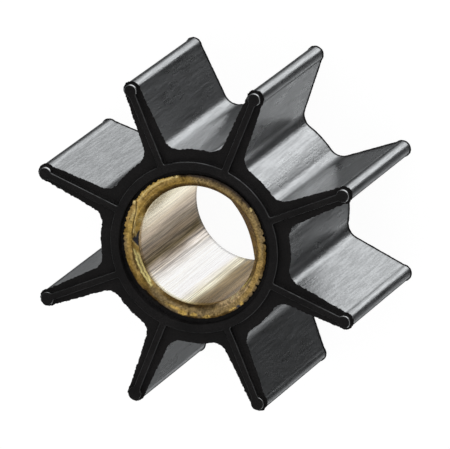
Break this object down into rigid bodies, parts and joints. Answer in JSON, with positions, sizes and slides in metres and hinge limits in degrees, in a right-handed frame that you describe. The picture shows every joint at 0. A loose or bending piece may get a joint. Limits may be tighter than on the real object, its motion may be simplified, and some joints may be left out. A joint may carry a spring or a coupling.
{
  "type": "rubber pump impeller",
  "caption": "Flexible-vane rubber impeller moulded onto a knurled brass bushing, with raised sealing ribs on both ends and a bore with a drive flat.",
  "frame": {"origin": "centre of the bore on the plane of the lower raised end face, which the part stands on", "axes": "+Z along the bore axis, towards the end face that the picture shows; +X along the vane that the drive flat lies under"},
  "size_m": [0.0648, 0.0648, 0.036],
  "materials": {
    "rubber": "satin moulded black rubber",
    "brass": "rough-cut end faces and a bright broached bore"
  },
  "bodies": {
    "root": {"rubber_impeller": "rubber", "brass_hub_bushing": "brass"}
  },
  "joints": []
}
